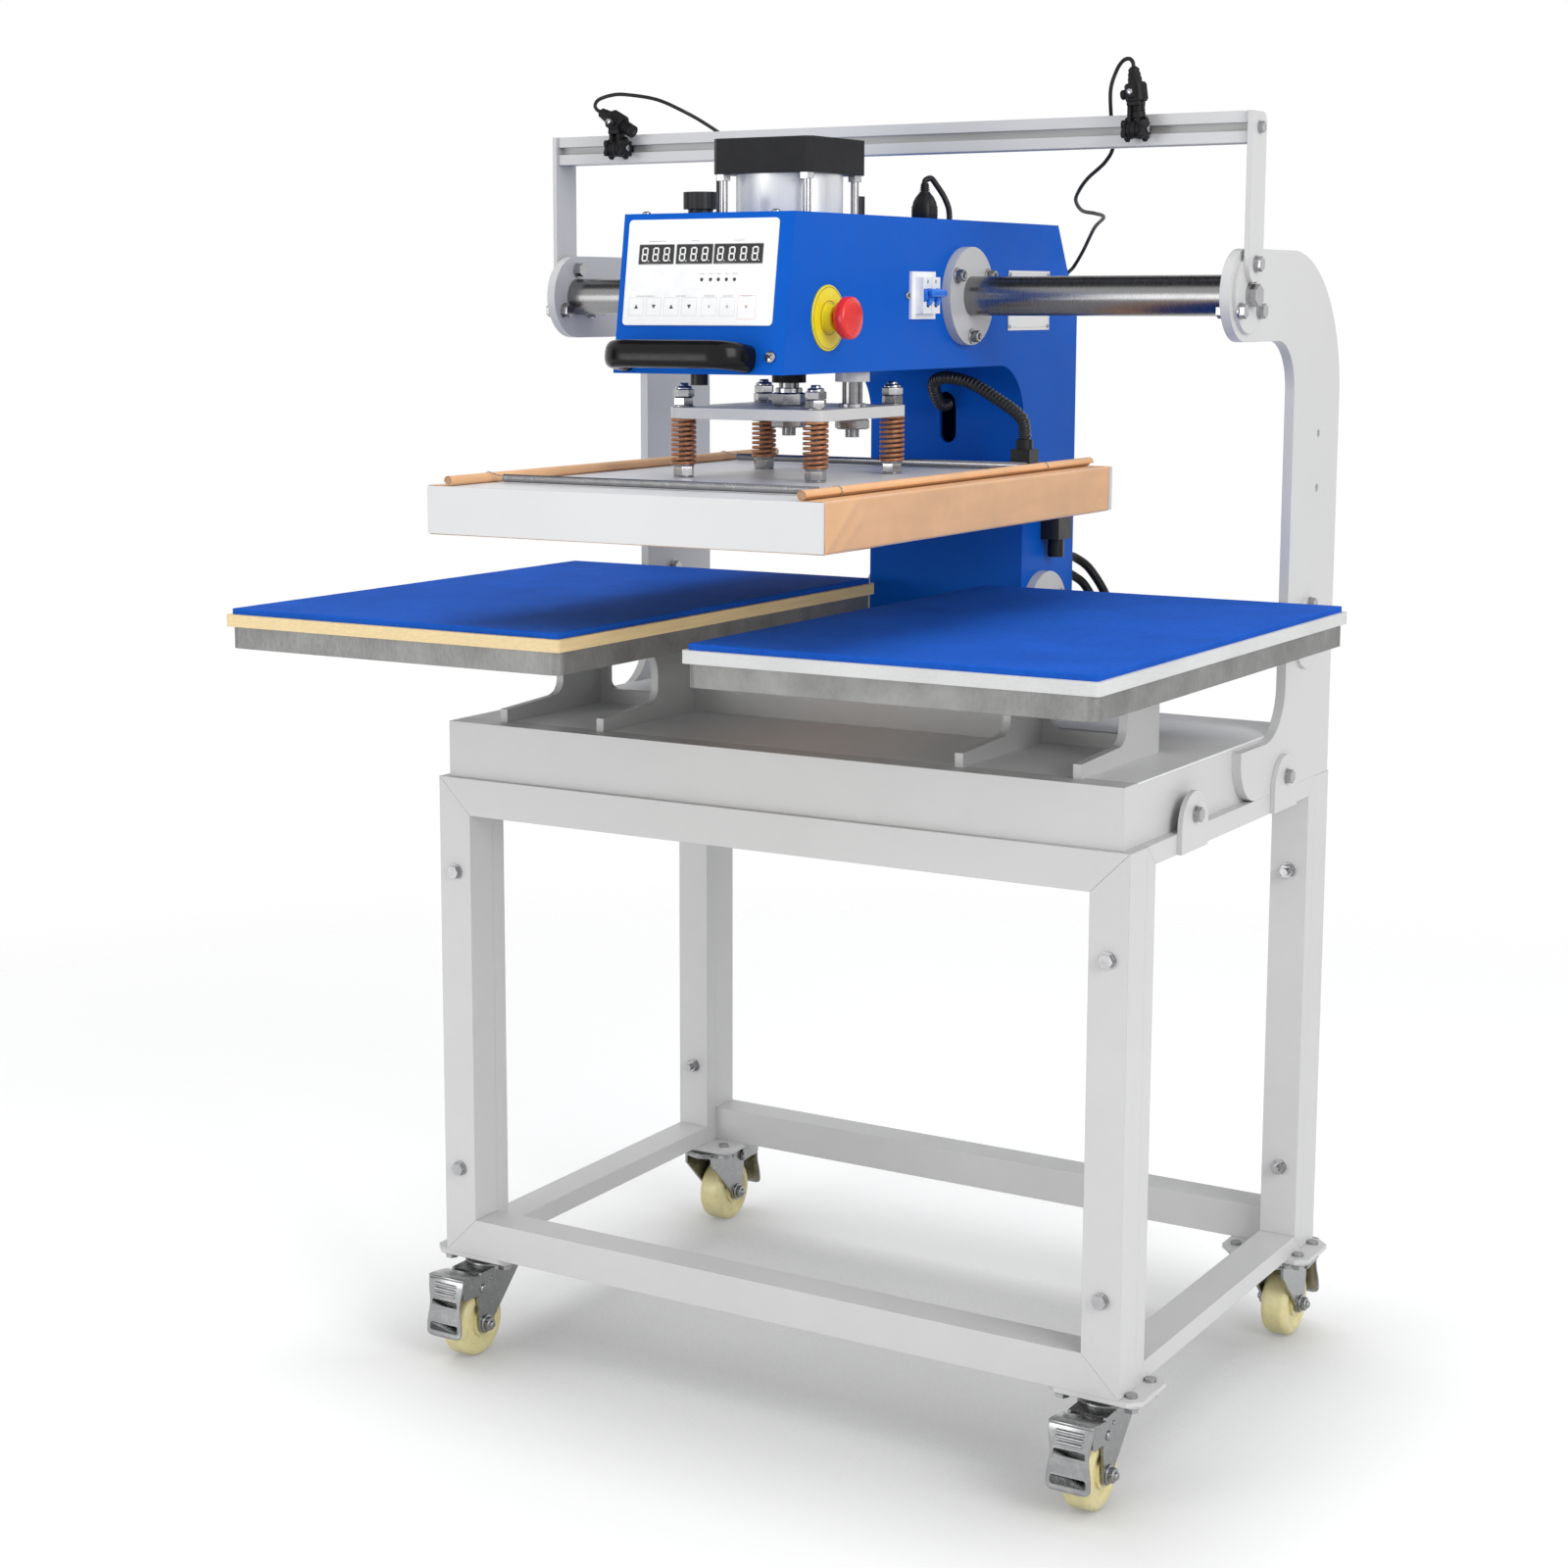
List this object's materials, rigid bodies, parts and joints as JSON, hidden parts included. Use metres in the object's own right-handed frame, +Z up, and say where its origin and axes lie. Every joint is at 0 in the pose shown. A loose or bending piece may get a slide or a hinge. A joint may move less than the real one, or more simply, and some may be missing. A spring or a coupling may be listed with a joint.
{
  "type": "heat press",
  "caption": "Pneumatic heat press whose head slides sideways on round shafts between two fixed printing tables, on a tube stand with braked swivel casters.",
  "frame": {"origin": "on the floor, under the middle of the machine's overall width and depth", "axes": "+X to the operator's right, +Y to the back, +Z up"},
  "size_m": [0.95, 0.832, 1.3824],
  "materials": {
    "painted_frame": "semi-gloss light grey paint",
    "painted_deck": "light grey paint",
    "zinc": "zinc plated",
    "shaft_chrome": "ground and polished",
    "cast_table": "rough ground casting",
    "wrapped_plate": "cloth-wrapped plate, cream to tan",
    "plain_plate": "light grey",
    "pad_blue": "matt foam rubber",
    "black_plastic": "satin black",
    "gloss_black": "gloss black",
    "black_anodised": "black anodised",
    "cord_black": "satin black",
    "blue_paint": "gloss blue powder coat",
    "membrane": "white film with dark windows",
    "bush_grey": "light grey",
    "plate_bare": "satin sheet",
    "white_plastic": "white moulded",
    "toggle_blue": "blue moulded",
    "yellow_plastic": "yellow moulded",
    "red_plastic": "red moulded",
    "barrel_alu": "anodised",
    "cloth_tan": "coated glass cloth",
    "heater_alu": "cast",
    "copper_wire": "copper coloured flat wire",
    "nylon": "cream nylon"
  },
  "bodies": {
    "frame": {"stand_end_frames": "painted_frame", "stand_side_frames": "painted_frame", "caster_plates": "painted_frame", "frame_fasteners": "zinc", "base_frame": "painted_frame", "base_deck": "painted_deck", "side_plates": "painted_frame", "shaft_end_discs": "painted_frame", "guide_shafts": "shaft_chrome", "gantry_frame": "painted_frame", "table_brackets": "painted_frame", "table_bodies": "cast_table", "table_plate_left": "wrapped_plate", "table_plate_right": "plain_plate", "table_pads": "pad_blue", "laser_cords": "cord_black"},
    "light_clamp_left": {"laser_clamp_left": "black_anodised"},
    "light_clamp_right": {"laser_clamp_right": "black_anodised"},
    "light_head_left": {"laser_head_left": "black_anodised"},
    "light_head_right": {"laser_head_right": "black_anodised"},
    "press_head": {"head_shell": "blue_paint", "control_panel": "membrane", "handle": "gloss_black", "bearing_flanges": "bush_grey", "head_screws": "zinc", "nameplate": "plate_bare", "breaker_body": "white_plastic", "estop_base": "yellow_plastic", "cylinder_barrel": "barrel_alu", "cylinder_caps": "black_anodised", "tie_rods": "zinc", "air_fittings": "black_plastic", "power_plug": "cord_black", "rear_hoses": "cord_black", "heater_hose": "black_plastic"},
    "breaker_lever": {"breaker_toggle": "toggle_blue"},
    "stop_button": {"estop_button": "red_plastic"},
    "regulator": {"regulator_knob": "black_plastic"},
    "ram": {"ram_rods": "shaft_chrome", "floating_plate": "painted_frame", "pressure_springs": "copper_wire"},
    "heater": {"heater_cover": "painted_frame", "heater_plate": "heater_alu", "ptfe_cloth": "cloth_tan", "retaining_rods": "cloth_tan", "tension_springs": "zinc", "spring_studs": "zinc", "hose_gland": "black_plastic"},
    "caster_front_left": {"caster_fork_front_left": "zinc"},
    "wheel_front_left": {"caster_wheel_front_left": "nylon"},
    "brake_front_left": {"caster_pedal_front_left": "zinc"},
    "caster_front_right": {"caster_fork_front_right": "zinc"},
    "wheel_front_right": {"caster_wheel_front_right": "nylon"},
    "brake_front_right": {"caster_pedal_front_right": "zinc"},
    "caster_rear_left": {"caster_fork_rear_left": "zinc"},
    "wheel_rear_left": {"caster_wheel_rear_left": "nylon"},
    "brake_rear_left": {"caster_pedal_rear_left": "zinc"},
    "caster_rear_right": {"caster_fork_rear_right": "zinc"},
    "wheel_rear_right": {"caster_wheel_rear_right": "nylon"},
    "brake_rear_right": {"caster_pedal_rear_right": "zinc"}
  },
  "joints": [
    {"name": "head_shuttle", "type": "slide", "parent": "frame", "child": "press_head", "axis": [1, 0, 0], "range_m": [-0.271, 0.271], "deforming": ["laser_cords", "rear_hoses"]},
    {"name": "ram_stroke", "type": "slide", "parent": "press_head", "child": "ram", "axis": [0, 0, -1], "range_m": [0, 0.0855], "deforming": ["heater_hose"]},
    {"name": "heater_float", "type": "slide", "parent": "ram", "child": "heater", "axis": [0, 0, 1], "range_m": [0, 0.008], "stiffness_N_per_m": 20000, "springref_m": -0.002, "deforming": ["pressure_springs"]},
    {"name": "breaker_switch", "type": "hinge", "parent": "press_head", "child": "breaker_lever", "pos_m": [0.1025, -0.0085, 1.1535], "axis": [0, 1, 0], "range_deg": [-30, 30]},
    {"name": "stop_push", "type": "slide", "parent": "press_head", "child": "stop_button", "axis": [-1, 0, 0], "range_m": [0, 0.004], "stiffness_N_per_m": 800, "springref_m": -0.001},
    {"name": "regulator_turn", "type": "hinge", "parent": "press_head", "child": "regulator", "pos_m": [-0.0275, -0.229, 1.24], "axis": [0, 0, 1], "continuous": true},
    {"name": "light_left_slide", "type": "slide", "parent": "frame", "child": "light_clamp_left", "axis": [1, 0, 0], "range_m": [-0.06, 0.16]},
    {"name": "light_left_tilt", "type": "hinge", "parent": "light_clamp_left", "child": "light_head_left", "pos_m": [-0.314, 0.0545, 1.313], "axis": [1, 0, 0], "range_deg": [-5, 45]},
    {"name": "light_right_slide", "type": "slide", "parent": "frame", "child": "light_clamp_right", "axis": [1, 0, 0], "range_m": [-0.16, 0.08]},
    {"name": "light_right_tilt", "type": "hinge", "parent": "light_clamp_right", "child": "light_head_right", "pos_m": [0.294, 0.0545, 1.313], "axis": [1, 0, 0], "range_deg": [-5, 45]},
    {"name": "swivel_front_left", "type": "hinge", "parent": "frame", "child": "caster_front_left", "pos_m": [-0.37, -0.127, 0.095], "axis": [0, 0, 1], "continuous": true},
    {"name": "roll_front_left", "type": "hinge", "parent": "caster_front_left", "child": "wheel_front_left", "pos_m": [-0.37, -0.163, 0.0375], "axis": [1, 0, 0], "continuous": true},
    {"name": "brake_front_left", "type": "hinge", "parent": "caster_front_left", "child": "brake_front_left", "pos_m": [-0.37, -0.173, 0.081], "axis": [-1, 0, 0], "range_deg": [0, 10]},
    {"name": "swivel_front_right", "type": "hinge", "parent": "frame", "child": "caster_front_right", "pos_m": [0.37, -0.127, 0.095], "axis": [0, 0, 1], "continuous": true},
    {"name": "roll_front_right", "type": "hinge", "parent": "caster_front_right", "child": "wheel_front_right", "pos_m": [0.37, -0.163, 0.0375], "axis": [1, 0, 0], "continuous": true},
    {"name": "brake_front_right", "type": "hinge", "parent": "caster_front_right", "child": "brake_front_right", "pos_m": [0.37, -0.173, 0.081], "axis": [-1, 0, 0], "range_deg": [0, 10]},
    {"name": "swivel_rear_left", "type": "hinge", "parent": "frame", "child": "caster_rear_left", "pos_m": [-0.37, 0.329, 0.095], "axis": [0, 0, 1], "continuous": true},
    {"name": "roll_rear_left", "type": "hinge", "parent": "caster_rear_left", "child": "wheel_rear_left", "pos_m": [-0.37, 0.365, 0.0375], "axis": [1, 0, 0], "continuous": true},
    {"name": "brake_rear_left", "type": "hinge", "parent": "caster_rear_left", "child": "brake_rear_left", "pos_m": [-0.37, 0.375, 0.081], "axis": [1, 0, 0], "range_deg": [0, 10]},
    {"name": "swivel_rear_right", "type": "hinge", "parent": "frame", "child": "caster_rear_right", "pos_m": [0.37, 0.329, 0.095], "axis": [0, 0, 1], "continuous": true},
    {"name": "roll_rear_right", "type": "hinge", "parent": "caster_rear_right", "child": "wheel_rear_right", "pos_m": [0.37, 0.365, 0.0375], "axis": [1, 0, 0], "continuous": true},
    {"name": "brake_rear_right", "type": "hinge", "parent": "caster_rear_right", "child": "brake_rear_right", "pos_m": [0.37, 0.375, 0.081], "axis": [1, 0, 0], "range_deg": [0, 10]}
  ]
}
